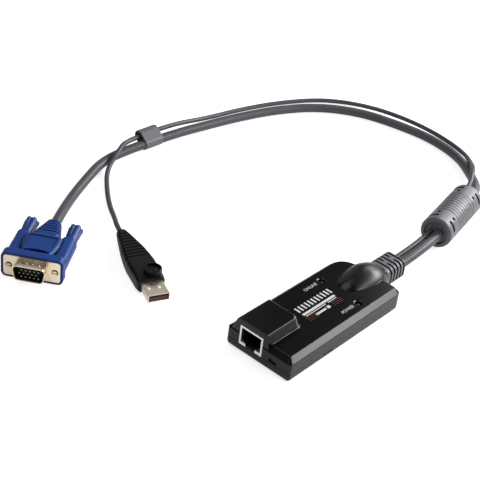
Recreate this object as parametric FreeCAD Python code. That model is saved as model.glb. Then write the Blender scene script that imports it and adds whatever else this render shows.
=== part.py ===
import FreeCAD, Part
import math
import os

V = FreeCAD.Vector
os.makedirs("parts", exist_ok=True)

# ---------------------------------------------------------------- driving sizes (mm)
# Work axes: x runs along the housing from the socket face to the cable end, y to the left, z up, table z = 0.
# Every piece is moved by -middle_x on export, so the row's origin is at the bottom centre of the housing and boot.

# housing
case_length = 93.0
case_width = 41.8
case_top = 14.2             # height of the flat top
case_wall = 1.8
rear_corner_r = (3.5, 12.5)  # plan radius of the right and the left shoulder
front_corner_r = 1.8
top_chamfer = 2.9
bottom_round = 2.8
parting_rear_z = 3.8
parting_step_x = (18.0, 29.0)

# hump over the socket
hump_top = 20.6
hump_y = (-4.6, 14.6)       # flat top, right and left edge
hump_foot_out = (1.7, 3.4)  # how far each side leans out at the foot
hump_foot_z = 12.5
hump_foot_round = 1.1       # hollow round along the right foot and the rear foot
hump_length = 23.5
hump_rear_slope = 2.2
hump_round = 1.5
hump_corner_round = 3.0     # upright edge at the right rear

# bulge that carries the cable boot: distance behind the case's rear face, half width, half height of each section
bulge_z = 7.9
bulge_sections = ((-28.5, 4.4, 3.6), (-25.5, 7.2, 7.0), (-21.0, 9.2, 9.3), (-14.0, 10.6, 11.0), (-7.0, 11.5, 11.4),
                  (-1.5, 11.0, 10.4), (3.0, 9.6, 8.7), (6.5, 8.0, 6.9))
bulge_end_x = case_length + bulge_sections[-1][0]
bulge_floor = 0.8
bulge_hollow = (22.0, 17.4, 13.0, 5.5)   # length ahead of the case's rear face, width, height, round

# cable boot (strain relief)
boot_length = 17.0          # behind the bulge
boot_end_x = bulge_end_x + boot_length
boot_width = 14.4
boot_height = 12.3
boot_round = 3.7
boot_z = 7.5
boot_slot_first = 2.5       # behind the bulge
boot_slot_pitch = 2.95
boot_slot_width = 1.35
boot_slot_depth = 2.2
boot_slot_floor_z = 4.2
boot_neck = (10.6, 8.6)     # width and height where it passes the case wall
boot_gap = 0.1              # round the neck, and each side of the flange
boot_flange = (15.7, 11.0, 2.2, 5.2)     # width, height, thickness, round, inside the case
boot_seat_x = case_length + 1.0          # inner face that the flange pulls against

# socket (8-way modular jack)
jack_y = 4.85
jack_width = 15.0
jack_depth = 18.0
jack_top = 17.3
jack_proud = 0.3
jack_sheet = 0.3
jack_gap = 0.15             # round the shield in the case opening
jack_mouth_width = 11.9
jack_mouth_z = (9.0, 16.1)
jack_latch = ((8.4, 7.7), (6.2, 6.4))   # width and floor height of the two latch steps
jack_window = (12.8, 7.6, 16.2)         # opening of the shield's face: width, floor and top
jack_cavity_depth = 13.0
contact_pitch = 1.02

# circuit board
board_bottom_z = 4.4
board_thickness = 1.5
board_x = (3.0, case_length - 5.0)
board_width = 35.0
board_notch = (4.5, 10.5)   # cut from each rear corner: its length, and the half width that is kept
board_top = board_bottom_z + board_thickness
parting_front_z = board_top  # the parting line runs under the socket and steps down behind it

# parts on the board: x, y of the middle unless said
chips = (("video_chip", 44.0, -1.0, 14.0, 14.0, 1.4), ("line_driver_chip", 26.0, -7.0, 5.2, 6.2, 1.5))
chip_lead_pitch = 1.27
transformer_at = (jack_depth + 1.4, 1.5)  # front right corner
transformer_size = (9.4, 12.5, 5.2)
capacitor_points = ((40.5, 12.8), (48.0, 12.8), (37.5, -14.0))
capacitor_r = 2.5
capacitor_h = 5.4
crystal_at = (54.2, 0.0)
crystal_size = (4.4, 11.0, 3.4)
header_x = case_length - 26.5
header_length = 5.5
header_h = 5.5
header_wall = 0.8
headers = (("video_header", -6.6, 9.8), ("usb_header", 6.6, 7.0))   # y, width

# case screws
screw_rear_x = case_length - 15.0
screw_points = ((32.0, -15.2), (32.0, 15.2), (screw_rear_x, -14.2), (screw_rear_x, 14.2))
screw_shank_r = 1.1
screw_head_r = 2.1
screw_head_h = 1.2
screw_boss_r = 2.9
screw_top_z = 9.5

# indicators
led_x = case_length - 29.0
led_y = (("online_led", 11.9), ("power_led", -13.1))
led_hole_r = 1.75
led_lens_r = 1.5
led_recess = 0.9

# cables and their two overmouldings
video_cable_d = 5.8
usb_cable_d = 3.0
ferrite_near = (157.6, 1.2)
ferrite_far = (205.6, 10.3)
ferrite_r = 9.7
ferrite_core_r = 7.6
ferrite_core_length = 32.0
ferrite_bore_r = 5.0
ferrite_slot = (1.9, 3.6, 1.7)  # along, half width and depth of the arc slots
ferrite_window = 1.9        # side of the square windows
ferrite_recess = (7.1, 0.9)  # radius and depth of the sunk disc in each end
cable_gap = 0.12            # round a cable in the ferrite's overmould and in the collar
ferrite_video_side = -1.9   # where each cable runs in the bore, to the left of the axis
ferrite_usb_side = 3.1
collar_x = (101.3, 115.3)
collar_wall = 0.9
collar_usb_side = 4.4       # second cable in the collar: to the left and above the first
collar_usb_up = 3.5

# video plug (15-way high density D) where it lies
video_plug_at = (-40.3, 123.6)
video_plug_yaw = 33.06
video_plug_z = 7.75
plate_size = (30.8, 12.5, 0.8)
dshell_top_width = 18.6
dshell_height = 9.3
dshell_draft = math.tan(math.radians(10.0))
dshell_round = 2.6
dshell_length = 5.9
dshell_wall = 0.45
insulator_skirt = (0.5, 0.5)  # wall and setback of the skirt that lines the shell
jackscrew_half = 24.99 / 2
jackscrew_r = 1.42          # 4-40 thread
jackscrew_hole_r = 1.85     # in the plate
jackscrew_bearing_r = 1.5   # in the hood's arms
video_pin_r = 0.38
video_pin_pitch = 2.29
video_pin_row = 1.98
video_hood_end = 42.0
knob_x = (28.3, 42.0)
knob_r = 3.8
knob_grip = 5.45            # how far the screw runs into its knob
jackscrew_tip = 0.7         # how far the screw stands proud of the plate's face

# usb plug where it lies
usb_plug_at = (-3.5, 65.5)
usb_plug_yaw = 65.31
usb_plug_z = 4.6
usb_shell = (12.0, 4.5, 0.35)
usb_tongue_gap = 0.07       # between the tongue and the shell round it
usb_shell_out = 11.9
usb_shell_in = 6.0
usb_hood_end = 61.0
usb_boss = (17.4, -2.5, 5.0, 6.8)   # middle along and across, radius, top above the plug's middle

middle_x = (boot_end_x - jack_proud) / 2


# ---------------------------------------------------------------- helpers
def box(x, y, z):
    """Box from three (low, high) pairs."""
    return Part.makeBox(x[1] - x[0], y[1] - y[0], z[1] - z[0], V(x[0], y[0], z[0]))


def cyl(r, length, at, along):
    return Part.makeCylinder(r, length, V(*at), V(*along))


def rounded(x, y, z, w, h, r):
    """Wire of a rounded rectangle square to x, centred on y, z."""
    r = min(r, w / 2 - 0.02, h / 2 - 0.02)
    edges = []
    corners = ((1, 1), (-1, 1), (-1, -1), (1, -1))
    for k, (a, b) in enumerate(corners):
        cy, cz = y + a * (w / 2 - r), z + b * (h / 2 - r)
        t0 = math.radians(90 * k)
        p = [V(x, cy + r * math.cos(t0 + s), cz + r * math.sin(t0 + s)) for s in (0, math.pi / 4, math.pi / 2)]
        edges.append(Part.Arc(p[0], p[1], p[2]).toShape())
        a2, b2 = corners[(k + 1) % 4]
        q = V(x, y + a2 * (w / 2 - r) - r * math.sin(t0), z + b2 * (h / 2 - r) + r * math.cos(t0))
        if (q - p[2]).Length > 1e-6:
            edges.append(Part.LineSegment(p[2], q).toShape())
    return Part.Wire(edges)


def bar(x0, x1, y, z, w, h, r):
    """Rounded bar along x."""
    return Part.Face(rounded(x0, y, z, w, h, r)).extrude(V(x1 - x0, 0, 0))


def prism(points, x0, x1):
    """Polygon of (y, z) points run along x."""
    wire = Part.makePolygon([V(x0, y, z) for y, z in points] + [V(x0, points[0][0], points[0][1])])
    return Part.Face(wire).extrude(V(x1 - x0, 0, 0))


def fuse(shapes):
    out = shapes[0]
    for s in shapes[1:]:
        out = out.fuse(s)
    return out.removeSplitter()


def save(name, shape):
    shape = shape.copy()
    shape.translate(V(-middle_x, 0, 0))
    if not shape.isValid():
        print("NOT VALID", name)
    shape.exportStep("parts/%s.step" % name)
    print("%-24s solids %d volume %.1f mm3" % (name, len(shape.Solids), shape.Volume))


def place(shape, at, yaw):
    """Turn a plug built along +x about z, then move it to its place."""
    shape = shape.copy()
    shape.rotate(V(0, 0, 0), V(0, 0, 1), yaw)
    shape.translate(V(at[0], at[1], 0))
    return shape


# ---------------------------------------------------------------- housing
def outline(inset, z):
    """Plan outline of the case at height z, inset all round."""
    x0, x1, w = inset, case_length - inset, case_width / 2 - inset
    rf = max(front_corner_r - inset, 0.3)
    rr, rl = (max(r - inset, 0.3) for r in rear_corner_r)
    d = math.sqrt(0.5)
    edges = [
        Part.LineSegment(V(x0 + rf, -w, z), V(x1 - rr, -w, z)).toShape(),
        Part.Arc(V(x1 - rr, -w, z), V(x1 - rr + rr * d, -w + rr - rr * d, z), V(x1, -w + rr, z)).toShape(),
        Part.LineSegment(V(x1, -w + rr, z), V(x1, w - rl, z)).toShape(),
        Part.Arc(V(x1, w - rl, z), V(x1 - rl + rl * d, w - rl + rl * d, z), V(x1 - rl, w, z)).toShape(),
        Part.LineSegment(V(x1 - rl, w, z), V(x0 + rf, w, z)).toShape(),
        Part.Arc(V(x0 + rf, w, z), V(x0 + rf - rf * d, w - rf + rf * d, z), V(x0, w - rf, z)).toShape(),
        Part.LineSegment(V(x0, w - rf, z), V(x0, -w + rf, z)).toShape(),
        Part.Arc(V(x0, -w + rf, z), V(x0 + rf - rf * d, -w + rf - rf * d, z), V(x0 + rf, -w, z)).toShape()]
    return Part.Wire(edges)


def plan(inset, z0, z1):
    """Upright prism on the case outline."""
    return Part.Face(outline(inset, z0)).extrude(V(0, 0, z1 - z0))


def stack(levels):
    """Solid through case outlines given as (inset, height)."""
    return Part.makeLoft([outline(i, z) for i, z in levels], True, True)


def rim(shape, z):
    """Edges of a shape that lie wholly at height z."""
    return [e for e in shape.Edges if abs(e.BoundBox.ZMin - z) < 1e-4 and abs(e.BoundBox.ZMax - z) < 1e-4]


def arch(x, a, b, z, floor):
    """Section square to x: an oval of half sizes a and b, cut off flat low down."""
    low = min(math.asin(min((z - floor) / b, 1.0)), math.radians(62))
    n = 12
    pts = []
    for k in range(n + 1):
        t = -low + (math.pi + 2 * low) * k / n
        pts.append(V(x, a * math.cos(t), z + b * math.sin(t)))
    c = Part.BSplineCurve()
    c.interpolate(Points=pts)
    return Part.Wire([c.toShape(), Part.LineSegment(pts[-1], pts[0]).toShape()])


def smooth(table, x):
    """Value row at x on a smooth curve through the rows of a table whose first column is x."""
    rows = table
    k = max(i for i in range(len(rows) - 1) if rows[i][0] <= x + 1e-9)
    x0, x1 = rows[k][0], rows[k + 1][0]
    t = (x - x0) / (x1 - x0)
    out = []
    for c in range(1, len(rows[0])):
        p0, p1 = rows[k][c], rows[k + 1][c]
        m0 = (p1 - rows[max(k - 1, 0)][c]) / (x1 - rows[max(k - 1, 0)][0])
        m1 = (rows[min(k + 2, len(rows) - 1)][c] - p0) / (rows[min(k + 2, len(rows) - 1)][0] - x0)
        h = x1 - x0
        out.append((2 * t**3 - 3 * t**2 + 1) * p0 + (t**3 - 2 * t**2 + t) * h * m0
                   + (3 * t**2 - 2 * t**3) * p1 + (t**3 - t**2) * h * m1)
    return out


def bulge():
    """Bulge as a ruled skin over closely spaced smooth sections."""
    start, end, steps = bulge_sections[0][0], bulge_sections[-1][0], 18
    wires = []
    for k in range(steps + 1):
        x = start + (end - start) * k / steps
        a, b = smooth(bulge_sections, x)
        wires.append(arch(case_length + x, a, b, bulge_z, bulge_floor))
    return Part.makeLoft(wires, True, True)


levels = []
for k in range(6):
    t = math.radians(90 - 18 * k)
    levels.append((bottom_round * (1 - math.cos(t)), bottom_round * (1 - math.sin(t))))
body = stack(levels + [(0, case_top - top_chamfer), (top_chamfer, case_top)])

hump = prism(((hump_y[0] - hump_foot_out[0], hump_foot_z), (hump_y[0], hump_top), (hump_y[1], hump_top),
              (hump_y[1] + hump_foot_out[1], hump_foot_z)), 0, hump_length + hump_rear_slope)
slope = Part.makePolygon([V(hump_length, -30, hump_top), V(hump_length + 20, -30, hump_top),
                          V(hump_length + 20, -30, hump_foot_z),
                          V(hump_length + hump_rear_slope, -30, hump_foot_z), V(hump_length, -30, hump_top)])
hump = hump.cut(Part.Face(slope).extrude(V(0, 60, 0)))
upright = [e for e in hump.Edges if e.BoundBox.YMax < hump_y[0] + 1e-3 and e.BoundBox.ZLength > 3
           and e.BoundBox.XMin > hump_length - 1e-3]
hump = hump.makeFillet(hump_corner_round, upright)
hump = hump.makeFillet(hump_round, [e for e in rim(hump, hump_top)
                                    if e.BoundBox.XMax > hump_length - 0.01])

body = fuse([body, hump])
foot = [e for e in rim(body, case_top) if e.BoundBox.XMax < hump_length + hump_rear_slope
        and e.BoundBox.YMin > hump_y[0] - hump_foot_out[0] - 0.1 and e.BoundBox.YMax < hump_y[1]
        and e.BoundBox.XMax > 1.0]
body = body.makeFillet(hump_foot_round, foot)
outer = fuse([body, bulge()])

inner_top = case_top - case_wall
inner = stack([(case_wall + 1.2, case_wall), (case_wall, case_wall + 1.2), (case_wall, inner_top - top_chamfer + 0.8),
               (case_wall + top_chamfer - 0.8, inner_top)])
jack_pocket = box((case_wall, jack_depth + 1.5), (jack_y - jack_width / 2 - 0.4, jack_y + jack_width / 2 + 0.4),
                  (case_wall + 2, jack_top + 1.3))
hollow_length, hollow_w, hollow_h, hollow_round = bulge_hollow
bulge_pocket = bar(case_length - hollow_length, boot_seat_x, 0, case_wall + hollow_h / 2, hollow_w, hollow_h,
                   hollow_round)
neck_hole = bar(boot_seat_x - 1, bulge_end_x + 1, 0, boot_z, boot_neck[0], boot_neck[1], 3.0)
cavity = fuse([inner, jack_pocket, bulge_pocket, neck_hole])

walls = outer.cut(cavity)
jack_hole = box((-2, case_wall + 1), (jack_y - jack_width / 2 - jack_gap, jack_y + jack_width / 2 + jack_gap),
                (board_top, jack_top + jack_gap))

split = Part.makePolygon([V(-5, -40, parting_front_z), V(parting_step_x[0], -40, parting_front_z),
                          V(parting_step_x[1], -40, parting_rear_z), V(case_length + 30, -40, parting_rear_z),
                          V(case_length + 30, -40, -10), V(-5, -40, -10), V(-5, -40, parting_front_z)])
below = Part.Face(split).extrude(V(0, 80, 0))

upper = walls.cut(below)
lower = walls.common(below)

# shadow line: a shallow groove right round the parting line, cut from the lower shell
groove = 0.28
lip = plan(-1, -1, 30).cut(plan(0.35, -2, 31))
for z, x in ((parting_front_z, (-2, parting_step_x[0])), (parting_rear_z, (parting_step_x[1], case_length + 5))):
    lower = lower.cut(lip.common(box(x, (-30, 30), (z - groove, z + 1))))
lower = lower.cut(jack_hole)
upper = upper.cut(jack_hole)

# snap notch beside the socket and pry slots low on both sides
upper = upper.cut(box((-1, 1.0), (-12.4, -7.4), (parting_front_z - 0.1, parting_front_z + 2.6)))
for side in (-1, 1):
    w = case_width / 2
    y = sorted((side * (w - 0.9), side * (w + 1)))
    lower = lower.cut(box((27.5, 34.5), tuple(y), (parting_rear_z - 0.75, parting_rear_z + 1.2)))

# screw bosses below the board and posts above it
bosses = []
posts = []
for x, y in screw_points:
    bosses.append(cyl(screw_boss_r, board_bottom_z - 1.0, (x, y, 1.0), (0, 0, 1)))
    posts.append(cyl(screw_boss_r, case_top - 1.0 - board_top, (x, y, board_top), (0, 0, 1)))
lower = fuse([lower] + bosses)
upper = fuse([upper] + posts)
for x, y in screw_points:
    lower = lower.cut(cyl(screw_shank_r + 0.2, 6, (x, y, -1), (0, 0, 1)))
    lower = lower.cut(cyl(screw_head_r + 0.2, 1.5, (x, y, -0.1), (0, 0, 1)))
    upper = upper.cut(cyl(screw_shank_r, screw_top_z - board_top + 0.5, (x, y, board_top - 0.1), (0, 0, 1)))

# indicator wells: dished rim and a through hole
for _, y in led_y:
    upper = upper.cut(cyl(led_hole_r, 8, (led_x, y, case_top - 6), (0, 0, 1)))
    upper = upper.cut(Part.makeCone(led_hole_r - 0.2, led_hole_r + 0.75, 0.75, V(led_x, y, case_top - 0.74),
                                    V(0, 0, 1)))
save("upper_shell", upper)
save("lower_shell", lower)

screws = []
for x, y in screw_points:
    head = cyl(screw_head_r, screw_head_h, (x, y, 1.4 - screw_head_h), (0, 0, 1))
    s = head.fuse(cyl(screw_shank_r, screw_top_z - 1.4, (x, y, 1.4), (0, 0, 1)))
    s = s.cut(box((x - 1.3, x + 1.3), (y - 0.25, y + 0.25), (0, 0.8)))
    screws.append(s.cut(box((x - 0.25, x + 0.25), (y - 1.3, y + 1.3), (0, 0.8))))
save("case_screws", Part.makeCompound(screws))

# ---------------------------------------------------------------- circuit board and what is on it
board = box(board_x, (-board_width / 2, board_width / 2), (board_bottom_z, board_top))
for side in (-1, 1):
    y = sorted((side * board_notch[1], side * board_width))
    board = board.cut(box((board_x[1] - board_notch[0], board_x[1] + 1), tuple(y), (0, board_top + 1)))
for x, y in screw_points:
    board = board.cut(cyl(screw_shank_r + 0.3, board_top + 1, (x, y, 0), (0, 0, 1)))
save("circuit_board", board)

jx0, jx1 = -jack_proud, jack_depth
jy0, jy1 = jack_y - jack_width / 2, jack_y + jack_width / 2
shield = box((jx0, jx1), (jy0, jy1), (board_top, jack_top))
t = jack_sheet
shield = shield.cut(box((jx0 + t, jx1 - t), (jy0 + t, jy1 - t), (board_top - 1, jack_top - t)))


def mouth(x0, x1, grow):
    """Plug opening with its stepped latch recess, run along x."""
    h = [box((x0, x1), (jack_y - jack_mouth_width / 2 - grow, jack_y + jack_mouth_width / 2 + grow),
             (jack_mouth_z[0] - grow, jack_mouth_z[1] + grow))]
    top = jack_mouth_z[0]
    for w, z in jack_latch:
        h.append(box((x0, x1), (jack_y - w / 2 - grow, jack_y + w / 2 + grow), (z - grow, top)))
        top = z
    return fuse(h)


window_w, window_floor, window_top = jack_window
shield = shield.cut(box((jx0 - 1, jx0 + 1), (jack_y - window_w / 2, jack_y + window_w / 2), (window_floor, window_top)))
shield = shield.cut(box((jx0 - 1, jx0 + 1), (jack_y - jack_latch[1][0] / 2, jack_y + jack_latch[1][0] / 2),
                        (board_top - 1, window_floor + 0.1)))
for side in (-1, 1):
    y = jack_y + side * (jack_width / 2)
    yy = sorted((y - side * 0.5, y + side * 0.5))
    shield = shield.cut(box((5.5, 11.0), tuple(yy), (8.0, 8.35)).fuse(
        box((5.5, 11.0), tuple(yy), (11.2, 11.55))).fuse(box((10.65, 11.0), tuple(yy), (8.0, 11.55))))
save("jack_shield", shield)

insert = box((jx0 + t, jx1 - t), (jy0 + t, jy1 - t), (board_top, jack_top - t))
insert = insert.cut(mouth(jx0, jack_cavity_depth, 0))
slots = []
contacts = []
for k in range(8):
    y = jack_y + (k - 3.5) * contact_pitch
    slots.append(box((3.0, jack_cavity_depth + 1), (y - 0.28, y + 0.28),
                     (jack_mouth_z[1] - 0.5, jack_mouth_z[1] + 0.7)))
    wire = Part.makePolygon([V(3.2, y - 0.22, jack_mouth_z[1] + 0.55), V(12.6, y - 0.22, jack_mouth_z[1] - 0.2),
                             V(4.6, y - 0.22, jack_mouth_z[1] - 2.5), V(4.4, y - 0.22, jack_mouth_z[1] - 2.1),
                             V(11.0, y - 0.22, jack_mouth_z[1] - 0.35), V(3.2, y - 0.22, jack_mouth_z[1] + 0.2),
                             V(3.2, y - 0.22, jack_mouth_z[1] + 0.55)])
    contacts.append(Part.Face(wire).extrude(V(0, 0.44, 0)))
insert = insert.cut(Part.makeCompound(slots))
save("jack_insert", insert)
save("jack_contacts", Part.makeCompound(contacts))

# chips, with their leads as a group of their own
leads = []
for name, x, y, lx, ly, h in chips:
    z = board_top + 0.15
    c = box((x - lx / 2, x + lx / 2), (y - ly / 2, y + ly / 2), (z, z + h))
    c = c.makeChamfer(0.25, rim(c, z + h))
    save(name, c.cut(cyl(0.5, 0.2, (x - lx / 2 + 1.5, y - ly / 2 + 1.5, z + h - 0.1), (0, 0, 1))))
    n = int((lx - 2.0) / chip_lead_pitch)
    for k in range(n + 1):
        px = x + (k - n / 2) * chip_lead_pitch
        for side in (-1, 1):
            y0, y1 = sorted((y + side * ly / 2, y + side * (ly / 2 + 1.0)))
            leads.append(box((px - 0.2, px + 0.2), (y0, y1), (board_top, board_top + 0.5)))
save("chip_leads", Part.makeCompound(leads))
tx, ty = transformer_at
transformer = box((tx, tx + transformer_size[0]), (ty, ty + transformer_size[1]),
                  (board_top, board_top + transformer_size[2]))
save("network_transformer", transformer.makeFillet(0.4, rim(transformer, board_top + transformer_size[2])))
caps = []
for x, y in capacitor_points:
    c = cyl(capacitor_r, capacitor_h, (x, y, board_top), (0, 0, 1))
    caps.append(c.makeFillet(0.5, rim(c, board_top + capacitor_h)))
save("capacitors", Part.makeCompound(caps))
kx, ky = crystal_at
can = box((kx - crystal_size[0] / 2, kx + crystal_size[0] / 2), (ky - crystal_size[1] / 2, ky + crystal_size[1] / 2),
          (board_top, board_top + crystal_size[2]))
save("crystal", can.makeFillet(crystal_size[0] / 2 - 0.3, [e for e in can.Edges if e.BoundBox.ZLength > 0.1]))
for name, y, w in headers:
    h = box((header_x, header_x + header_length), (y - w / 2, y + w / 2), (board_top, board_top + header_h))
    save(name, h.cut(box((header_x + header_wall, header_x + header_length + 1),
                         (y - w / 2 + header_wall, y + w / 2 - header_wall),
                         (board_top + header_wall, board_top + header_h - header_wall))))

for name, y in led_y:
    base = box((led_x - 1.7, led_x + 1.7), (y - 1.7, y + 1.7), (board_top, board_top + 2.6))
    pipe_top = case_top - led_recess
    stem = cyl(led_lens_r, pipe_top - led_lens_r - board_top, (led_x, y, board_top), (0, 0, 1))
    dome = Part.makeSphere(led_lens_r, V(led_x, y, pipe_top - led_lens_r))
    save(name, fuse([base, stem, dome]))

# ---------------------------------------------------------------- cable boot
boot = bar(bulge_end_x, boot_end_x, 0, boot_z, boot_width, boot_height, boot_round)
boot = boot.makeFillet(1.0, [e for e in boot.Edges if e.BoundBox.XMin > boot_end_x - 1e-4])
for k in range(5):
    x = bulge_end_x + boot_slot_first + k * boot_slot_pitch
    ring = bar(x, x + boot_slot_width, 0, boot_z, boot_width + 2, boot_height + 2, boot_round + 1).cut(
        bar(x - 1, x + 2, 0, boot_z, boot_width - 2 * boot_slot_depth, boot_height - 2 * boot_slot_depth,
            boot_round - 0.8))
    ring = ring.common(box((x - 1, x + 3), (-20, 20), (boot_slot_floor_z, 30)))
    if k % 2:
        ring = ring.cut(box((x - 1, x + 3), (-1.4, 1.4), (boot_z, 30)))
    boot = boot.cut(ring)
flange_w, flange_h, flange_t, flange_round = boot_flange
neck = bar(boot_seat_x - boot_gap - 1.0, bulge_end_x, 0, boot_z, boot_neck[0] - 2 * boot_gap,
           boot_neck[1] - 2 * boot_gap, 3.0 - boot_gap)
boot = fuse([boot, neck, bar(boot_seat_x - boot_gap - flange_t, boot_seat_x - boot_gap, 0, boot_z, flange_w, flange_h,
                             flange_round)])


# ---------------------------------------------------------------- cables
def route(points):
    """Straight runs joined by arcs; each arc is as large as its two runs allow."""
    p = [V(*q) for q in points]
    edges, start, radii = [], p[0], []
    for k in range(1, len(p) - 1):
        a, b = p[k] - p[k - 1], p[k + 1] - p[k]
        turn = a.getAngle(b)
        cut = 0.45 * min(a.Length, b.Length)
        radii.append(cut / math.tan(turn / 2))
        a.normalize()
        b.normalize()
        q0, q1 = p[k] - a * cut, p[k] + b * cut
        inward = (b - a).normalize()
        centre_gap = radii[-1] / math.cos(turn / 2)
        mid_arc = p[k] + inward * (centre_gap - radii[-1])
        edges.append(Part.LineSegment(start, q0).toShape())
        edges.append(Part.Arc(q0, mid_arc, q1).toShape())
        start = q1
    edges.append(Part.LineSegment(start, p[-1]).toShape())
    return Part.Wire(edges), radii


def cord(name, points, d):
    path, radii = route(points)
    along = V(*points[1]) - V(*points[0])
    ring = Part.Wire([Part.makeCircle(d / 2, V(*points[0]), along)])
    tube = path.makePipeShell([ring], True, False)
    print("%s: length %.1f mm, radii %s" % (name, path.Length, " ".join("%.0f" % r for r in radii)))
    print("   volume %.0f, section x length %.0f, valid %s" % (tube.Volume, math.pi * d * d / 4 * path.Length,
                                                              tube.isValid()))
    return tube


fx, fy = ferrite_far[0] - ferrite_near[0], ferrite_far[1] - ferrite_near[1]
ferrite_length = math.hypot(fx, fy)
fu = (fx / ferrite_length, fy / ferrite_length)


def on_ferrite(along, side):
    """Point on a line through the ferrite: along its axis from the near face, and to the left of it."""
    return (ferrite_near[0] + fu[0] * along - fu[1] * side, ferrite_near[1] + fu[1] * along + fu[0] * side, ferrite_r)


video_r, usb_r = video_cable_d / 2, usb_cable_d / 2
collar_z = video_r + cable_gap + collar_wall
collar_from, collar_to = (127.0, 183.6, collar_z), (90.5, 186.1, collar_z)
cl = math.hypot(collar_to[0] - collar_from[0], collar_to[1] - collar_from[1])
cu = ((collar_to[0] - collar_from[0]) / cl, (collar_to[1] - collar_from[1]) / cl)


def beside_collar(p, along):
    """The same point for the second cable, moved along the collar's axis as well."""
    return (p[0] + cu[0] * along + cu[1] * collar_usb_side, p[1] + cu[1] * along - cu[0] * collar_usb_side,
            p[2] + collar_usb_up)


vy = math.radians(video_plug_yaw)
uy = math.radians(usb_plug_yaw)


def behind(at, yaw, along, z):
    return (at[0] + math.cos(yaw) * along, at[1] + math.sin(yaw) * along, z)


boot_video_y, boot_usb_y = -2.2, 3.3
video_points = [
    (boot_end_x - 1.0, boot_video_y, boot_z), on_ferrite(-14.0, ferrite_video_side),
    on_ferrite(ferrite_length + 12.5, ferrite_video_side), (240.0, 25.8, 3.8), (252.0, 48.5, video_r),
    (259.0, 73.5, video_r), (259.6, 99.0, video_r), (252.0, 126.0, video_r), (233.5, 149.5, video_r),
    (206.0, 165.0, video_r), (177.0, 173.6, video_r), (151.5, 180.2, video_r + 0.3), collar_from, collar_to,
    (68.0, 187.8, video_r), (44.0, 177.2, video_r), (26.0, 167.6, video_r + 0.4),
    behind(video_plug_at, vy, video_hood_end + 11.0, video_plug_z),
    behind(video_plug_at, vy, video_hood_end - 1.0, video_plug_z)]
usb_points = [
    (boot_end_x - 1.0, boot_usb_y, boot_z), on_ferrite(-15.0, ferrite_usb_side),
    on_ferrite(ferrite_length + 8.5, ferrite_usb_side), (232.5, 25.0, 13.4), (250.0, 34.5, 6.6), (261.5, 52.0, 2.2),
    (268.0, 76.0, usb_r), (269.5, 102.0, usb_r), (264.5, 129.5, usb_r), (247.0, 153.5, usb_r),
    (219.0, 170.0, usb_r), (190.0, 180.5, usb_r), (160.5, 189.0, 2.4), beside_collar(collar_from, -3.0),
    beside_collar(collar_to, -1.0), (79.5, 184.5, 9.2), (66.0, 178.4, 2.0), (52.0, 164.8, usb_r),
    (40.6, 149.6, usb_r), (32.4, 136.6, 2.2), behind(usb_plug_at, uy, usb_hood_end + 8.5, usb_plug_z),
    behind(usb_plug_at, uy, usb_hood_end - 1.0, usb_plug_z)]

video_tube = cord("video_cable", video_points, video_cable_d)
usb_tube = cord("usb_cable", usb_points, usb_cable_d)

# ferrite: a ring core in a soft overmould, both bored along the two cables
axis = V(fu[0], fu[1], 0)
near = V(ferrite_near[0], ferrite_near[1], ferrite_r)
core_start = (ferrite_length - ferrite_core_length) / 2
core = Part.makeCylinder(ferrite_core_r, ferrite_core_length, near + axis * core_start, axis)
bore = Part.makeCylinder(ferrite_bore_r, ferrite_core_length, near + axis * core_start, axis)
over = Part.makeCylinder(ferrite_r, ferrite_length, near, axis)
over = over.makeFillet(1.6, [e for e in over.Edges if e.Closed and len(e.Vertexes) == 1])
over = over.cut(core)
for start in (0, ferrite_length - ferrite_recess[1]):
    over = over.cut(Part.makeCylinder(ferrite_recess[0], ferrite_recess[1], near + axis * start, axis))


def ring_cut(along, width, outer_r, inner_r):
    at = near + axis * along
    return Part.makeCylinder(outer_r, width, at, axis).cut(Part.makeCylinder(inner_r, width, at, axis))


# fine grip rings, a slot near each end on four sides, and square windows on to the core
grooves = [ring_cut(ferrite_length / 2 + (k - 4) * 2.75 - 0.25, 0.5, ferrite_r + 1, ferrite_r - 0.4)
           for k in range(9)]
side_dir = V(-fu[1], fu[0], 0)
up = V(0, 0, 1)


def slab(along, width, half, angle):
    """Box that reaches out from the axis at an angle from straight up."""
    b = Part.makeBox(width, 2 * half, ferrite_r + 3, V(-width / 2, -half, 0))
    b.rotate(V(0, 0, 0), V(1, 0, 0), angle)
    b.rotate(V(0, 0, 0), V(0, 0, 1), math.degrees(math.atan2(fu[1], fu[0])))
    b.translate(near + axis * along)
    return b


slot_w, slot_half, slot_depth = ferrite_slot
for along in (5.2, ferrite_length - 5.2):
    for angle in (55, -35, 145, -125):
        sector = slab(along, slot_w, slot_half, angle)
        grooves.append(ring_cut(along - slot_w / 2, slot_w, ferrite_r + 1, ferrite_r - slot_depth).common(sector))
for along in (9.6, ferrite_length - 9.6):
    for angle in (38, -22, 158, -142):
        grooves.append(slab(along, ferrite_window, ferrite_window / 2, angle).cut(
            Part.makeCylinder(ferrite_core_r, 4, near + axis * (along - 2), axis)))
over = over.cut(Part.makeCompound(grooves))
for side, r in ((ferrite_video_side, video_r), (ferrite_usb_side, usb_r)):
    over = over.cut(Part.makeCylinder(r + cable_gap, ferrite_length, near + side_dir * side, axis))
core = core.cut(bore)
save("ferrite_core", core)
save("ferrite_overmould", over)

# collar: an oval sleeve with a cable at each end of the oval
span = V(-cu[1] * -collar_usb_side, cu[0] * -collar_usb_side, collar_usb_up)
gap = span.Length
cax = V(cu[0], cu[1], 0)
first = V(collar_from[0], collar_from[1], collar_z) + cax * (collar_from[0] - collar_x[1])
collar_length = collar_x[1] - collar_x[0]
wide = V(span.x, span.y, span.z).normalize()


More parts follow.
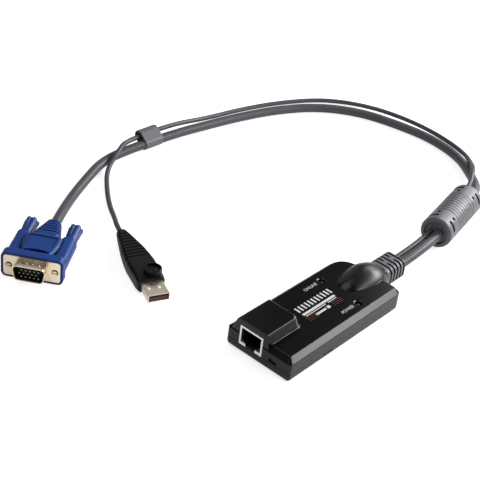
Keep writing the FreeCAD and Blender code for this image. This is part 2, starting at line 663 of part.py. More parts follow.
def stadium(r, start, length):
    a = first + cax * start
    b = a + span
    across = cax.cross(wide)
    p = [a + across * r, a - wide * r, a - across * r, b - across * r, b + wide * r, b + across * r]
    w = Part.Wire([Part.Arc(p[0], p[1], p[2]).toShape(), Part.LineSegment(p[2], p[3]).toShape(),
                   Part.Arc(p[3], p[4], p[5]).toShape(), Part.LineSegment(p[5], p[0]).toShape()])
    return Part.Face(w).extrude(cax * length)


collar = stadium(collar_z, 0, collar_length)
collar = collar.makeFillet(0.35, [e for e in collar.Edges if e.Length < 30 and len(e.Vertexes) == 2
                                  and abs((e.Vertexes[0].Point - e.Vertexes[1].Point).dot(cax)) < 1e-6])
collar = collar.cut(stadium(video_r + cable_gap, -1, collar_length + 2))
save("cable_collar", collar)

# ---------------------------------------------------------------- video plug, built along +x from its plate's face
zc = video_plug_z


def dsolid(x0, x1, grow):
    """D outline, wide side up, grown all round and run along x."""
    height = dshell_height + 2 * grow
    top = dshell_top_width / 2 + grow
    low = top - dshell_draft * height
    s = prism(((top, zc + height / 2), (-top, zc + height / 2), (-low, zc - height / 2), (low, zc - height / 2)),
              x0, x1)
    return s.makeFillet(dshell_round + grow, [e for e in s.Edges if e.BoundBox.XLength > abs(x1 - x0) - 1e-3])


plate = bar(0, plate_size[2], 0, zc, plate_size[0], plate_size[1], 1.6)
dshell = fuse([plate, dsolid(-dshell_length, 0.1, 0)]).cut(dsolid(-dshell_length - 1, 2, -dshell_wall))
for side in (-1, 1):
    dshell = dshell.cut(cyl(jackscrew_hole_r, 3, (-1, side * jackscrew_half, zc), (1, 0, 0)))
for k in range(4):
    dshell = dshell.cut(Part.makeSphere(0.62, V(-2.6, (k - 1.5) * 3.4, zc + dshell_height / 2 + 0.25)))
save("video_plug_shell", place(dshell, video_plug_at, video_plug_yaw))

skirt_wall, skirt_back = insulator_skirt
block = fuse([dsolid(-1.6, 5.6, -dshell_wall),
              dsolid(skirt_back - dshell_length, -1.5, -dshell_wall).cut(
                  dsolid(-dshell_length - 1, 0, -dshell_wall - skirt_wall))])
pins = []
for row in range(3):
    for k in range(5):
        y = (k - 2) * video_pin_pitch + (0 if row != 1 else video_pin_pitch / 2) - video_pin_pitch / 4
        z = zc + (1 - row) * video_pin_row
        pins.append(cyl(video_pin_r, 11.4, (-5.2, y, z), (1, 0, 0)))
block = block.cut(Part.makeCompound(pins))
save("video_plug_insulator", place(block, video_plug_at, video_plug_yaw))
save("video_plug_pins", place(Part.makeCompound(pins), video_plug_at, video_plug_yaw))



def section_at(table, x):
    """Width and height of a ruled loft at x."""
    for (x0, w0, h0), (x1, w1, h1) in zip(table, table[1:]):
        if x0 <= x <= x1:
            f = (x - x0) / (x1 - x0)
            return w0 + (w1 - w0) * f, h0 + (h1 - h0) * f
    return table[-1][1], table[-1][2]


# moulded hood: flange, centre block, ribbed relief and two arms that carry the thumbscrews
block_sections = ((6.0, 15.6, 12.6), (11.5, 19.0, 12.5), (17.0, 20.8, 12.4), (24.5, 20.2, 12.4))
relief_sections = ((20.0, 15.4, 11.8), (27.5, 15.2, 11.7), (32.0, 13.4, 11.0), (37.0, 10.8, 9.9),
                   (video_hood_end, 8.6, 8.8))
pod = Part.makeLoft([rounded(x, 0, zc, w, h, 2.2) for x, w, h in block_sections], True, True)
pod = pod.makeFillet(1.0, [e for e in pod.Edges if e.BoundBox.XMin > block_sections[-1][0] - 1e-3])
relief = Part.makeLoft([rounded(x, 0, zc, w, h, 3.4) for x, w, h in relief_sections], True, True)
flange = bar(0.25, 6.2, 0, zc, 33.8, 2 * zc, 3.2)
flange = flange.makeFillet(1.6, [e for e in flange.Edges if e.BoundBox.XMin > 6.1])
arms = []
for side in (-1, 1):
    arms.append(bar(5.0, knob_x[0] - 0.4, side * jackscrew_half, zc, 8.4, 9.0, 3.4))
    web = sorted((side * 8.0, side * jackscrew_half))
    arms.append(box((5.0, 11.5), tuple(web), (zc - 3.6, zc + 3.6)))
hood = fuse([pod, relief, flange] + arms)
hood = hood.cut(bar(0, plate_size[2], 0, zc, plate_size[0], plate_size[1], 1.6))
hood = hood.cut(bar(plate_size[2] - 0.1, 7.0, 0, zc, 19.0, 10.4, 2.0))
# ribs round the relief
for k in range(5):
    x = 28.6 + k * 2.7
    w, h = section_at(relief_sections, x)
    hood = hood.cut(bar(x, x + 0.9, 0, zc, 30, 30, 2).cut(bar(x - 1, x + 2, 0, zc, w - 1.1, h - 1.1, 3.0)).common(
        box((x - 1, x + 3), (-w / 2 - 0.2, w / 2 + 0.2), (0, 20))))
# scoop between the flange and the block, and a shallow sunk panel behind it
panel_z = zc + block_sections[2][2] / 2
scoop = Part.makeCylinder(16.0, 6, V(-6.3, 0, panel_z - 1.7), V(0, 0, 1)).common(
    box((6.2, 12.0), (-6.8, 6.8), (panel_z - 2, 30)))
panel = Part.makeCylinder(16.0, 4, V(27.0, 0, panel_z - 0.4), V(0, 0, 1)).common(
    box((8.0, 22.8), (-7.6, 7.6), (panel_z - 1, 30)))
hood = hood.cut(scoop).cut(panel)
for side in (-1, 1):
    hood = hood.cut(cyl(jackscrew_hole_r, 6.0, (0, side * jackscrew_half, zc), (1, 0, 0)))
    hood = hood.cut(cyl(jackscrew_bearing_r, knob_x[0], (0, side * jackscrew_half, zc), (1, 0, 0)))
hood_placed = place(hood, video_plug_at, video_plug_yaw)
save("video_plug_hood", hood_placed)

for name, side in (("left_thumbscrew", 1), ("right_thumbscrew", -1)):
    y = side * jackscrew_half
    rod = cyl(jackscrew_r, knob_x[0] + knob_grip + jackscrew_tip, (-jackscrew_tip, y, zc), (1, 0, 0))
    rod = rod.cut(box((-jackscrew_tip - 1, 0.6 - jackscrew_tip), (y - 2, y + 2), (zc - 0.28, zc + 0.28)))
    knob = Part.makeCone(knob_r - 0.5, knob_r + 0.3, knob_x[1] - knob_x[0], V(knob_x[0], y, zc), V(1, 0, 0))
    flutes = []
    for k in range(6):
        a = math.radians(60 * k + 30)
        flutes.append(cyl(1.25, 20, (knob_x[0] + 2.2, y + (knob_r + 0.75) * math.cos(a),
                                     zc + (knob_r + 0.75) * math.sin(a)), (1, 0, 0)))
    knob = knob.cut(Part.makeCompound(flutes))
    knob = knob.cut(cyl(jackscrew_r, knob_grip, (knob_x[0], y, zc), (1, 0, 0)))
    save(name + "_screw", place(rod, video_plug_at, video_plug_yaw))
    save(name + "_knob", place(knob, video_plug_at, video_plug_yaw))

# ---------------------------------------------------------------- usb plug, built along +x from its shell's mouth
zu = usb_plug_z
w, h, t = usb_shell
metal = bar(0, usb_shell_out + usb_shell_in, 0, zu, w, h, 0.5).cut(
    bar(-1, usb_shell_out + usb_shell_in + 1, 0, zu, w - 2 * t, h - 2 * t, 0.2))
for side in (-1, 1):
    for z in (zu + h / 2, zu - h / 2):
        metal = metal.cut(box((4.9, 7.3), (side * 2.85 - 1.15, side * 2.85 + 1.15), (z - 0.5, z + 0.5)))
save("usb_plug_shell", place(metal, usb_plug_at, usb_plug_yaw))
inside = w / 2 - t - usb_tongue_gap
tongue = box((0.6, usb_shell_out + usb_shell_in), (-inside, inside), (zu - h / 2 + t + usb_tongue_gap, zu + 0.1))
contacts = []
for k, y in enumerate((-3.5, -1.0, 1.0, 3.5)):
    start = 1.4 if abs(y) > 2 else 2.4
    contacts.append(box((start, 11.0), (y - 0.5, y + 0.5), (zu - 0.1, zu + 0.3)))
tongue = tongue.cut(Part.makeCompound(contacts))
save("usb_plug_tongue", place(tongue, usb_plug_at, usb_plug_yaw))
save("usb_plug_contacts", place(Part.makeCompound(contacts), usb_plug_at, usb_plug_yaw))

usb_sections = ((usb_shell_out, 15.0, 8.2), (14.5, 15.8, 8.9), (29.0, 16.2, 9.0), (34.0, 15.4, 8.8),
                (42.0, 13.4, 8.3), (50.0, 10.4, 7.5), (56.0, 8.2, 6.8), (usb_hood_end, 6.2, 5.8))
usb_hood = Part.makeLoft([rounded(x, 0, zu, a, b, 2.6) for x, a, b in usb_sections], True, True)
for k in range(9):
    x = 32.5 + k * 2.95
    a, b = section_at(usb_sections, x)
    usb_hood = usb_hood.cut(bar(x, x + 0.9, 0, zu, 30, 30, 2).cut(bar(x - 1, x + 2, 0, zu, a - 1.1, b - 1.1, 2.2)))
bx, by, boss_r, boss_top = usb_boss
boss = cyl(boss_r, boss_top - 1.0, (bx, by, zu + 1.0), (0, 0, 1))
boss = boss.makeFillet(0.6, rim(boss, zu + boss_top))
usb_hood = fuse([usb_hood, boss])
dish = cyl(boss_r - 1.0, 5, (bx, by, zu + boss_top - 1.1), (0, 0, 1)).cut(
    Part.makeSphere(6.0, V(bx, by, zu + boss_top - 0.6 - 6.0)))
usb_hood = usb_hood.cut(dish)
usb_hood = usb_hood.cut(bar(usb_shell_out - 1, usb_shell_out + usb_shell_in, 0, zu, w, h, 0.5))
usb_hood_placed = place(usb_hood, usb_plug_at, usb_plug_yaw)
save("usb_plug_hood", usb_hood_placed)

# ---------------------------------------------------------------- boot and cables, trimmed where they meet
save("cable_boot", boot)
video_tube = video_tube.cut(boot).cut(hood_placed)
usb_tube = usb_tube.cut(boot).cut(usb_hood_placed)
save("video_cable", video_tube)
save("usb_cable", usb_tube)
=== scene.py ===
import math

import bmesh
import bpy
from mathutils import Matrix, Vector


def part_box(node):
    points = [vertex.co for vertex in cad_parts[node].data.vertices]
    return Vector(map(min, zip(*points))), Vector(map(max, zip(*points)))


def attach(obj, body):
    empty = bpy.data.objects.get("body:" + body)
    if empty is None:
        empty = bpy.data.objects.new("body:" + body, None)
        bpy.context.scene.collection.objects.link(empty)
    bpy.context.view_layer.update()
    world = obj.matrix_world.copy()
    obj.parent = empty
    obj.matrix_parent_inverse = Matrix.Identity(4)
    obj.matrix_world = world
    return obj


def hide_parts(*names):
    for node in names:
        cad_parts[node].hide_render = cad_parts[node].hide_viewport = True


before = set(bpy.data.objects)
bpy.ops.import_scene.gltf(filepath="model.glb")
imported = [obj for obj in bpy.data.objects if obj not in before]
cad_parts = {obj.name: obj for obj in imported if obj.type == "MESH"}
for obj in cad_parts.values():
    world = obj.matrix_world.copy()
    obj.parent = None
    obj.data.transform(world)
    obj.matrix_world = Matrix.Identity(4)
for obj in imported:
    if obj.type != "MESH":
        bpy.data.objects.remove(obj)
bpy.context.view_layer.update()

# ---------------------------------------------------------------- circuit board
# A fibreglass board on the lower shell's bosses, etched, drilled and covered with green solder mask.
# Its chips, transformer, capacitors, crystal and the two cable headers are soldered to it.


def tint(code):
    """Linear colour of an sRGB hex value."""
    parts = [int(code[i:i + 2], 16) / 255 for i in (1, 3, 5)]
    return tuple(v / 12.92 if v <= 0.04045 else ((v + 0.055) / 1.055) ** 2.4 for v in parts) + (1.0,)


def node(tree, kind, inputs=(), **settings):
    """Adds a node to a material's tree. Inputs are values, or another node's outputs to link."""
    made = tree.nodes.new(kind)
    for name, value in settings.items():
        setattr(made, name, value)
    for name, value in dict(inputs).items():
        if isinstance(value, bpy.types.NodeSocket):
            tree.links.new(value, made.inputs[name])
        else:
            made.inputs[name].default_value = value
    return made


def mottled(name, dark, light, patch_mm, grain_mm, grain_height_mm, roughness, ior=1.5, specular=0.5,
            metallic=0.0, painted_shade_hollow_mm=0, edge_mm=0):
    """A moulded, plated or printed surface: two close colours in patches of patch_mm, a gloss that goes with
    them from one roughness to another, and a relief of grains. Slots and grooves narrower than about the
    given hollow width are painted dark as painted shade, and edges catch the light as if rounded by edge_mm."""
    material = bpy.data.materials.new(name)
    material.use_nodes = True
    tree = material.node_tree
    tree.nodes.clear()
    place = node(tree, "ShaderNodeTexCoord")
    patches = node(tree, "ShaderNodeTexNoise", {"Vector": place.outputs["Object"], "Scale": 1000 / patch_mm,
                                                "Detail": 4.0})
    colour = node(tree, "ShaderNodeMix", {0: patches.outputs["Fac"], 6: tint(dark), 7: tint(light)},
                  data_type="RGBA")
    # Painted shade: ambient occlusion darkens narrow slots and grooves toward near-black #030304.
    if painted_shade_hollow_mm:
        deep, open_face = 0.5, 0.95     # shares of the sky that a slot's floor and an open face see
        openness = node(tree, "ShaderNodeAmbientOcclusion", {"Distance": painted_shade_hollow_mm / 1000},
                        only_local=True, samples=8)
        painted_shade_mask = node(tree, "ShaderNodeMapRange", {"Value": openness.outputs["AO"], "From Min": deep,
                                                  "From Max": open_face})
        colour = node(tree, "ShaderNodeMix", {0: painted_shade_mask.outputs["Result"], 6: tint("#030304"),
                                              7: colour.outputs[2]}, data_type="RGBA")
    least, most = 0.3, 0.7              # the patches' noise seldom goes past these
    gloss = node(tree, "ShaderNodeMapRange", {"Value": patches.outputs["Fac"], "From Min": least,
                                              "From Max": most, "To Min": roughness[0],
                                              "To Max": roughness[1]})
    grain = node(tree, "ShaderNodeTexNoise", {"Vector": place.outputs["Object"], "Scale": 1000 / grain_mm,
                                              "Detail": 3.0})
    relief = node(tree, "ShaderNodeBump", {"Height": grain.outputs["Fac"], "Strength": 1.0,
                                           "Distance": grain_height_mm / 1000})
    if edge_mm:
        rounded = node(tree, "ShaderNodeBevel", {"Radius": edge_mm / 1000}, samples=8)
        tree.links.new(rounded.outputs["Normal"], relief.inputs["Normal"])
    surface = node(tree, "ShaderNodeBsdfPrincipled", {"Base Color": colour.outputs[2],
                                                      "Roughness": gloss.outputs["Result"],
                                                      "Normal": relief.outputs["Normal"], "IOR": ior,
                                                      "Specular IOR Level": specular, "Metallic": metallic})
    node(tree, "ShaderNodeOutputMaterial", {"Surface": surface.outputs[0]})
    return material


def paint(material, *names):
    """The CAD nodes of these names take the material."""
    for name in names:
        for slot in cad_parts[name].material_slots:
            slot.material = material


# Solder mask over fibreglass: a glassy green skin that the woven cloth shows through. The cloth's threads are
# about 0.5 mm apart and are drawn as a grain twice as coarse.
board_mask = mottled("solder_mask_on_fibreglass", dark="#0e4a2a", light="#146038", patch_mm=6, grain_mm=1.0,
                     grain_height_mm=0.01, roughness=(0.25, 0.35))
paint(board_mask, "circuit_board")
# Epoxy moulding compound: near-black and finely matt, from a grain of under 0.1 mm that is drawn at 0.6 mm.
chip_epoxy = mottled("moulded_epoxy", dark="#141416", light="#1c1c1e", patch_mm=3, grain_mm=0.6,
                     grain_height_mm=0.01, roughness=(0.5, 0.65))
paint(chip_epoxy, "video_chip", "line_driver_chip", "network_transformer")
# Drawn aluminium cans and tinned leads: bright, with a fine satin. Its grain, about 0.1 mm, is drawn at
# 0.6 mm so that it shows.
drawn_aluminium = mottled("drawn_aluminium_and_tin", dark="#b0b1b4", light="#c6c7c9", patch_mm=2,
                          grain_mm=0.6, grain_height_mm=0.006, roughness=(0.25, 0.4), metallic=1.0)
paint(drawn_aluminium, "capacitors", "crystal", "chip_leads")
# Moulded nylon: milky white and waxy, with a mould grain drawn coarser than its 0.1 mm so that it shows.
header_nylon = mottled("moulded_nylon", dark="#d8d6cc", light="#e4e2d8", patch_mm=4, grain_mm=0.8,
                       grain_height_mm=0.006, roughness=(0.4, 0.5))
paint(header_nylon, "video_header", "usb_header")

# ---------------------------------------------------------------- network socket
# A folded nickel silver shield round a moulded black insert with a stepped latch recess.
# Eight sprung, gold-plated wires lie in the insert's slots, and the socket is soldered to the board.

# Rolled nickel silver: bright and warm under a faint rolling haze, drawn coarser than its 0.1 mm so that it
# shows.
socket_nickel = mottled("rolled_nickel_silver", dark="#f6f2ea", light="#fffcf6", patch_mm=3, grain_mm=0.8,
                        grain_height_mm=0.004, roughness=(0.2, 0.28), metallic=1.0)
paint(socket_nickel, "jack_shield")
# Glass-filled PBT: matt black with a dry, slightly mottled skin. Its 0.2 mm fibres are drawn 0.5 mm coarse.
insert_pbt = mottled("glass_filled_pbt", dark="#0a0a0b", light="#121214", patch_mm=2, grain_mm=0.5,
                     grain_height_mm=0.01, roughness=(0.5, 0.65))
paint(insert_pbt, "jack_insert")
# Gold flash over nickel: deep yellow and bright, its fine drawing marks drawn at 0.4 mm so that they show.
contact_gold = mottled("gold_flash_on_nickel", dark="#c79a45", light="#dcb565", patch_mm=1.5, grain_mm=0.4,
                       grain_height_mm=0.002, roughness=(0.15, 0.25), metallic=1.0)
paint(contact_gold, "jack_contacts", "usb_plug_contacts")

# ---------------------------------------------------------------- indicators
# A light-emitting diode stands on the board under each well of the upper shell.
# Its body is cast in smoky epoxy, and it is unlit.

# Cast epoxy: dark, clear and wet-looking, with ripples of about a millimetre from the casting.
lens_epoxy = mottled("cast_epoxy_lens", dark="#0b1210", light="#121c18", patch_mm=3, grain_mm=1.0,
                     grain_height_mm=0.001, roughness=(0.06, 0.12), ior=1.56)
paint(lens_epoxy, "online_led", "power_led")

# ---------------------------------------------------------------- the two cables
# Flexible PVC jackets, extruded and left satin: 5.8 mm over the screened video pairs, 3.0 mm over the bus
# pair. Both start inside the boot, share the ferrite and the collar, and end moulded into their plugs' hoods.

# Plasticised PVC: dark grey all through, with a broad soft sheen. The extruder's drag marks are about 0.3 mm
# apart and are drawn as a grain three times as coarse.
cable_pvc = mottled("extruded_pvc_cable_jacket", dark="#47474c", light="#535359", patch_mm=14, grain_mm=0.9,
                    grain_height_mm=0.012, roughness=(0.36, 0.42), ior=1.52, specular=0.32)


def lay_cable(name, route, thickness):
    """A round cable on a smooth spline. The route's control points and the thickness are in millimetres."""
    line = bpy.data.curves.new(name, "CURVE")
    line.dimensions = "3D"
    spline = line.splines.new("NURBS")
    spline.points.add(len(route) - 1)
    for point, (x, y, z) in zip(spline.points, route):
        point.co = (x / 1000, y / 1000, z / 1000, 1)
    spline.order_u = 3
    spline.use_endpoint_u = True
    line.resolution_u = 16
    line.bevel_depth = thickness / 2000
    line.bevel_resolution = 7
    line.use_fill_caps = True
    line.materials.append(cable_pvc)
    cable = bpy.data.objects.new(name, line)
    bpy.context.scene.collection.objects.link(cable)
    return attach(cable, "adapter")


video_thickness, bus_thickness = 5.8, 3.0
video_route = [
    (57.4, -2.2, 7.5), (86.1, -3.3, 9.7), (123.5, 3.85, 9.7), (160.1, 10.8, 9.7), (180.7, 27.0, 3.8),
    (196.8, 47.1, 2.9), (202.8, 73.4, 2.9), (199.9, 98.7, 2.9), (192.9, 125.6, 2.9), (175.2, 149.1, 2.9),
    (147.6, 164.3, 2.9), (118.8, 173.2, 2.9), (93.1, 178.4, 3.2), (68.7, 182.3, 3.92), (32.4, 186.1, 3.92),
    (10.3, 186.9, 2.9), (-13.8, 176.4, 2.9), (-32.0, 167.4, 3.3), (-54.0, 152.5, 7.75), (-64.0, 146.0, 7.75)]
bus_route = [
    (57.4, 3.3, 7.5), (84.2, 1.5, 9.7), (120.5, 8.6, 9.7), (155.3, 14.9, 9.7), (174.8, 24.2, 13.4),
    (190.6, 34.8, 7.0), (204.4, 49.5, 3.3), (210.8, 73.9, 3.1), (210.8, 100.6, 3.2), (205.8, 129.1, 2.2),
    (190.0, 154.7, 1.5), (161.3, 170.9, 1.5), (132.0, 180.9, 1.5), (102.0, 185.8, 2.4), (72.2, 187.8, 7.42),
    (33.7, 190.4, 7.42), (21.6, 183.7, 9.2), (7.3, 179.4, 2.0), (-6.3, 164.9, 1.5), (-18.1, 150.0, 1.5),
    (-26.0, 136.8, 2.2), (-32.6, 128.6, 4.6), (-36.5, 120.0, 4.6)]
video_jacket = lay_cable("video_jacket", video_route, video_thickness)
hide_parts("video_cable")
bus_jacket = lay_cable("bus_jacket", bus_route, bus_thickness)
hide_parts("usb_cable")

# ---------------------------------------------------------------- cable boot, ferrite and collar
# Soft PVC moulded over the cables: the slotted boot, held in the case by its flange, and the cover of the
# sintered ferrite ring with its grip rings. The oval collar is moulded by itself and slides on both cables.

# Moulded flexible PVC: mid grey and satin, with painted shade that darkens its slots. The mould's eroded
# grain, about 0.1 mm, is drawn at 0.7 mm so that it shows.
moulded_pvc = mottled("moulded_flexible_pvc", dark="#606064", light="#6a6a6f", patch_mm=8, grain_mm=0.7,
                      grain_height_mm=0.02, roughness=(0.38, 0.46), ior=1.52, specular=0.42, painted_shade_hollow_mm=3.0)
paint(moulded_pvc, "cable_boot", "ferrite_overmould", "cable_collar")
# Sintered ferrite: charcoal, dry and ceramic, its crystals drawn at 0.5 mm because they are too fine to show.
sintered_ferrite = mottled("sintered_ferrite", dark="#0c0c0d", light="#151516", patch_mm=2, grain_mm=0.5,
                           grain_height_mm=0.02, roughness=(0.55, 0.7))
paint(sintered_ferrite, "ferrite_core")

# ---------------------------------------------------------------- video plug
# A pressed steel plate and D shell, plated warm nickel, round a black insulator with fifteen pins.
# The blue hood is moulded over it, and two knobs turn the jackscrews in its arms.

# Pressed steel, nickel plated over copper: warm and satin. Its grain, about 0.1 mm, is drawn at 0.8 mm.
plug_nickel = mottled("nickel_plated_pressed_steel", dark="#f4e2c6", light="#fff0d8", patch_mm=4,
                      grain_mm=0.8, grain_height_mm=0.006, roughness=(0.26, 0.4), metallic=1.0)
paint(plug_nickel, "video_plug_shell")
# Moulded PBT: black and half matt, with a mould grain drawn coarser than its 0.1 mm so that it shows.
plug_pbt = mottled("moulded_pbt", dark="#09090c", light="#101014", patch_mm=2, grain_mm=0.5,
                   grain_height_mm=0.006, roughness=(0.35, 0.5))
paint(plug_pbt, "video_plug_insulator")
# Turned brass pins, tin plated: small dull grey rods in the black, their turning marks drawn at 0.3 mm.
pin_tin = mottled("tin_plated_brass_pins", dark="#8c8884", light="#a5a19c", patch_mm=1.0, grain_mm=0.3,
                  grain_height_mm=0.002, roughness=(0.25, 0.35), metallic=1.0)
paint(pin_tin, "video_plug_pins")
# Moulded flexible PVC with blue pigment: dense royal blue and satin, with painted shade between its ribs.
# The eroded grain, about 0.1 mm, is drawn at 0.7 mm so that it shows.
blue_pvc = mottled("moulded_blue_pvc", dark="#0a3a82", light="#10428e", patch_mm=9, grain_mm=0.7,
                   grain_height_mm=0.02, roughness=(0.38, 0.46), ior=1.52, specular=0.3, painted_shade_hollow_mm=1.6)
paint(blue_pvc, "video_plug_hood")
# The knobs are a harder, glossier PVC of the same blue, with half the depth of grain.
knob_pvc = mottled("moulded_blue_knobs", dark="#0a357a", light="#103c86", patch_mm=6, grain_mm=0.8,
                   # Painted shade darkens the knobs' grooves and ribs.
                   grain_height_mm=0.01, roughness=(0.3, 0.38), ior=1.52, specular=0.4, painted_shade_hollow_mm=1.2)
paint(knob_pvc, "left_thumbscrew_knob", "right_thumbscrew_knob")
# Turned steel screws, nickel plated: bright and warm, their turning marks drawn at 0.4 mm so that they show.
jackscrew_steel = mottled("nickel_plated_turned_steel", dark="#dccfb8", light="#ece0ca", patch_mm=1.5,
                          grain_mm=0.4, grain_height_mm=0.004, roughness=(0.2, 0.32), metallic=1.0)
paint(jackscrew_steel, "left_thumbscrew_screw", "right_thumbscrew_screw")

# ---------------------------------------------------------------- bus plug
# A folded steel shell with two latch windows round a plastic tongue with flat contacts.
# Its long ribbed hood is moulded over it; an ivory sheet under the shell top is a painted highlight in its
# windows.

# Folded steel, nickel plated: warm silver and satin. Its grain, about 0.1 mm, is drawn at 0.7 mm.
bus_nickel = mottled("nickel_plated_folded_steel", dark="#f4e4d2", light="#fff2e2", patch_mm=3, grain_mm=0.7,
                     grain_height_mm=0.004, roughness=(0.24, 0.36), metallic=1.0)
paint(bus_nickel, "usb_plug_shell")
# Moulded PBT, matt, red-brown as painted shade in the mouth. The grain, about 0.1 mm, is drawn at 0.5 mm.
tongue_pbt = mottled("pbt_tongue_painted_shade", dark="#55392f", light="#664539", patch_mm=2, grain_mm=0.5,
                     grain_height_mm=0.006, roughness=(0.4, 0.55))
paint(tongue_pbt, "usb_plug_tongue")
# Moulded PBT, ivory, with the tongue's grain: a sheet under the shell top, a painted highlight in its two
# windows.
window_highlight_pbt = mottled("ivory_pbt_painted_highlight", dark="#f4efe6", light="#fffaf0", patch_mm=2, grain_mm=0.5,
                     grain_height_mm=0.006, roughness=(0.4, 0.55))
# The ivory sheet sits just under the shell's two windows as a painted highlight.
mouth_x, mouth_y, mouth_turn = -0.0616, 0.0655, math.radians(65.31)
highlight_sheet_size = (0.0078, 0.0108, 0.00045)
highlight_sheet_edge = 0.0001                # bevel along every edge
highlight_sheet_behind_mouth = 0.0079
highlight_sheet_below_top = 0.00062
shell_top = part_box("usb_plug_shell")[1].z
highlight_sheet_sketch = bmesh.new()
highlight_sheet_corners = bmesh.ops.create_cube(highlight_sheet_sketch, size=1.0)["verts"]
bmesh.ops.scale(highlight_sheet_sketch, vec=highlight_sheet_size, verts=highlight_sheet_corners)
bmesh.ops.bevel(highlight_sheet_sketch, geom=highlight_sheet_sketch.edges[:], offset=highlight_sheet_edge, segments=1, affect="EDGES")
bmesh.ops.translate(highlight_sheet_sketch, vec=(highlight_sheet_behind_mouth, 0, shell_top - highlight_sheet_below_top),
                    verts=highlight_sheet_sketch.verts)
into_plug = Matrix.Translation((mouth_x, mouth_y, 0)) @ Matrix.Rotation(mouth_turn, 4, "Z")
bmesh.ops.transform(highlight_sheet_sketch, matrix=into_plug, verts=highlight_sheet_sketch.verts)
highlight_sheet_mesh = bpy.data.meshes.new("bus_plug_window_highlight_sheet")
highlight_sheet_sketch.to_mesh(highlight_sheet_mesh)
highlight_sheet_sketch.free()
highlight_sheet_mesh.materials.append(window_highlight_pbt)
highlight_sheet = bpy.data.objects.new("bus_plug_window_highlight_sheet", highlight_sheet_mesh)
bpy.context.scene.collection.objects.link(highlight_sheet)
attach(highlight_sheet, "adapter")
# Moulded flexible PVC: black and satin. The eroded grain, about 0.1 mm, is drawn at 0.7 mm so that it shows.
black_pvc = mottled("moulded_black_pvc", dark="#09090a", light="#0e0e0f", patch_mm=8, grain_mm=0.7,
                    grain_height_mm=0.012, roughness=(0.32, 0.4), ior=1.52, specular=0.22)
paint(black_pvc, "usb_plug_hood")

# ---------------------------------------------------------------- case
# Two ABS shells out of a polished mould, upper and lower, that meet at a stepped parting line.
# Four zinc-plated screws from below pull them together over the board and the boot's flange.

# Injection-moulded ABS: black all through, so the eye gets almost only its mirror-like skin, with the slow
# ripple of a hand-polished mould, a millimetre and a half long, and lines of light along its rounded edges.
case_abs = mottled("polished_moulded_abs", dark="#050507", light="#08080b", patch_mm=20, grain_mm=1.4,
                   grain_height_mm=0.002, roughness=(0.19, 0.21), ior=1.54, specular=0.36, edge_mm=0.6)
# The mould was eroded satin over the bulge, above the deck and between the indicators and the boot, which
# blurs the lamps there into one soft gradient. The deck is 0.9 mm above the indicators' lenses.
bulge_start, bulge_fade = 0.012, 0.002
deck_z, deck_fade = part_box("power_led")[1].z + 0.0009, 0.001
satin_roughness = 0.14              # added to the polished skin's
case_tree = case_abs.node_tree
case_place = node(case_tree, "ShaderNodeTexCoord")
where = node(case_tree, "ShaderNodeSeparateXYZ", {"Vector": case_place.outputs["Object"]})
behind = node(case_tree, "ShaderNodeMapRange", {"Value": where.outputs["X"], "From Min": bulge_start,
                                                "From Max": bulge_start + bulge_fade})
raised = node(case_tree, "ShaderNodeMapRange", {"Value": where.outputs["Z"], "From Min": deck_z,
                                                "From Max": deck_z + deck_fade, "To Min": 0.0,
                                                "To Max": satin_roughness})
satin = node(case_tree, "ShaderNodeMath", {0: behind.outputs["Result"], 1: raised.outputs["Result"]},
             operation="MULTIPLY")
skin = next(part for part in case_tree.nodes if part.type == "BSDF_PRINCIPLED")
polished = skin.inputs["Roughness"].links[0].from_socket
dulled = node(case_tree, "ShaderNodeMath", {0: polished, 1: satin.outputs[0]}, operation="ADD")
case_tree.links.new(dulled.outputs[0], skin.inputs["Roughness"])
paint(case_abs, "upper_shell", "lower_shell")

# Zinc-plated steel: pale and slightly blue, dulled by handling, its grain drawn coarser than its 0.1 mm.
screw_zinc = mottled("zinc_plated_steel_screws", dark="#9a9ba0", light="#b9babf", patch_mm=2, grain_mm=0.7,
                     grain_height_mm=0.006, roughness=(0.3, 0.45), metallic=1.0)
paint(screw_zinc, "case_screws")

# ---------------------------------------------------------------- printed marks
# Pad-printed ink on the flat deck, a few hundredths of a millimetre thick: plain bars and two fields of dots
# where a maker's panel would be, and the plain name of each indicator beside it.
lamp_low, lamp_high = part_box("power_led")
lamp_x = (lamp_low.x + lamp_high.x) / 2
ink_height = 0.00004


def print_ink(name, blocks, ink):
    """Printed rectangles as one piece. Each block says, in millimetres, how far its socket edge is from the
    indicators, how far its middle is left of the case's middle, its length and its width."""
    sketch = bmesh.new()
    for to_edge, to_left, length, width in blocks:
        block = bmesh.ops.create_cube(sketch, size=1.0)["verts"]
        bmesh.ops.scale(sketch, vec=(length / 1000, width / 1000, ink_height), verts=block)
        bmesh.ops.translate(sketch, vec=(lamp_x - (to_edge - length / 2) / 1000, to_left / 1000,
                                         deck_z + ink_height / 2), verts=block)
    mesh = bpy.data.meshes.new(name)
    sketch.to_mesh(mesh)
    sketch.free()
    mesh.materials.append(ink)
    printed = bpy.data.objects.new(name, mesh)
    bpy.context.scene.collection.objects.link(printed)
    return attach(printed, "adapter")


